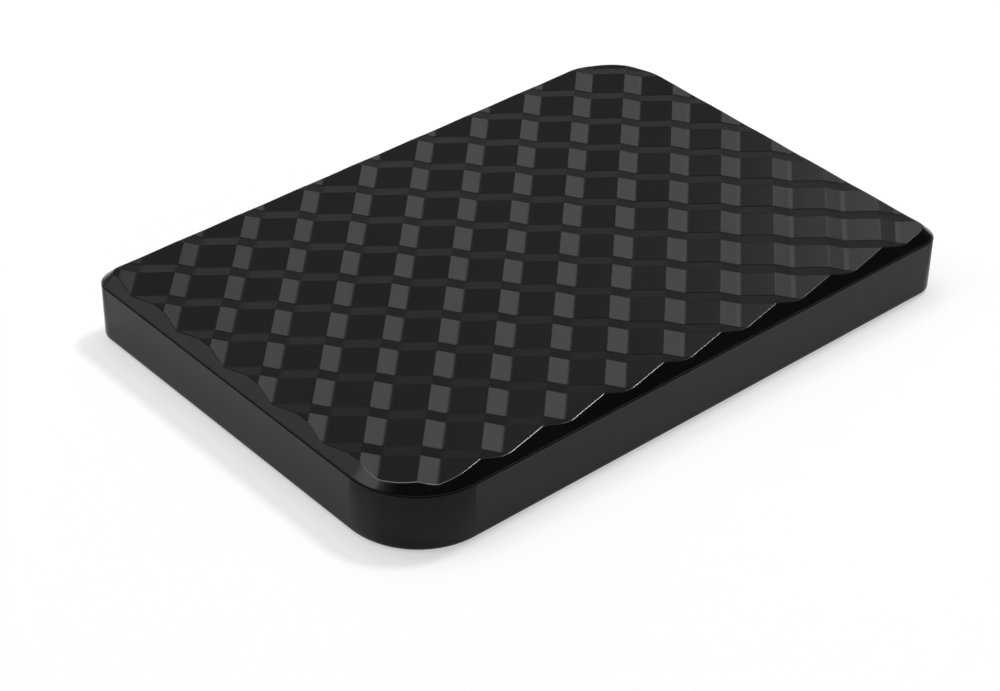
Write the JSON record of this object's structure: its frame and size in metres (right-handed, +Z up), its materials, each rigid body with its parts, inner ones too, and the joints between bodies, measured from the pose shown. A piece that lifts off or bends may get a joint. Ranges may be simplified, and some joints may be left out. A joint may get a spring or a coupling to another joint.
{
  "type": "portable external hard drive",
  "caption": "Slim black portable hard drive: moulded tray and faceted lid around a 2.5 inch disc drive with its bridge board and end socket.",
  "frame": {"origin": "middle of the flat underside", "axes": "+X along the case towards the socket end, +Y across it, +Z up through the faceted lid"},
  "size_m": [0.1186, 0.082, 0.0127],
  "materials": {
    "case_black": "satin moulded black",
    "bumper_rubber": "matte",
    "clear_plastic": "clear, polished",
    "bridge_laminate": "green solder mask",
    "chip_resin": "moulded resin",
    "crystal_steel": "bright can",
    "led_resin": "cast resin",
    "socket_steel": "nickel plated",
    "connector_black": "moulded",
    "cast_aluminium": "cast, coated",
    "gasket_rubber": "matte",
    "cover_steel": "stamped sheet",
    "screw_steel": "plated",
    "bearing_steel": "ground",
    "hub_aluminium": "turned",
    "magnet_nickel": "nickel plated",
    "lamination_steel": "stamped",
    "winding_copper": "enamelled wire",
    "disc_mirror": "sputtered, polished",
    "spring_steel": "rolled",
    "head_ceramic": "lapped",
    "ramp_plastic": "moulded",
    "filter_cloth": "felt",
    "insulator_foam": "soft sheet"
  },
  "bodies": {
    "case": {"bottom_tray": "case_black", "top_cover": "case_black", "drive_bumpers": "bumper_rubber", "crash_stops": "bumper_rubber", "light_pipe": "clear_plastic", "bridge_board": "bridge_laminate", "controller_board": "bridge_laminate", "bridge_chip": "chip_resin", "flash_chip": "chip_resin", "controller_chip": "chip_resin", "memory_chip": "chip_resin", "motor_driver": "chip_resin", "crystal_can": "crystal_steel", "status_led": "led_resin", "usb_shell": "socket_steel", "usb_insert": "connector_black", "sata_receptacle": "connector_black", "sata_plug": "connector_black", "base_casting": "cast_aluminium", "cover_gasket": "gasket_rubber", "drive_cover": "cover_steel", "cover_screws": "screw_steel", "board_screws": "screw_steel", "spindle_sleeve": "bearing_steel", "pivot_shaft": "bearing_steel", "lower_magnet": "magnet_nickel", "upper_magnet": "magnet_nickel", "stator_core": "lamination_steel", "lower_yoke": "lamination_steel", "upper_yoke": "lamination_steel", "stator_coils": "winding_copper", "load_ramp": "ramp_plastic", "breather_filter": "filter_cloth", "recirculation_filter": "filter_cloth", "board_insulator": "insulator_foam"},
    "spindle": {"spindle_hub": "hub_aluminium", "rotor_magnet": "magnet_nickel", "lower_platter": "disc_mirror", "upper_platter": "disc_mirror", "spacer_ring": "hub_aluminium", "disk_clamp": "cover_steel", "clamp_screw": "screw_steel"},
    "actuator": {"actuator_arm": "hub_aluminium", "pivot_bearing": "bearing_steel", "voice_coil": "winding_copper", "head_suspensions": "spring_steel", "head_sliders": "head_ceramic"}
  },
  "joints": [
    {"name": "spindle_spin", "type": "hinge", "parent": "case", "child": "spindle", "pos_m": [-0.01945, 0, 0.0065], "axis": [0, 0, 1], "continuous": true},
    {"name": "actuator_swing", "type": "hinge", "parent": "case", "child": "actuator", "pos_m": [0.01855, -0.013, 0.0065], "axis": [0, 0, 1], "range_deg": [0, 32.1]}
  ]
}
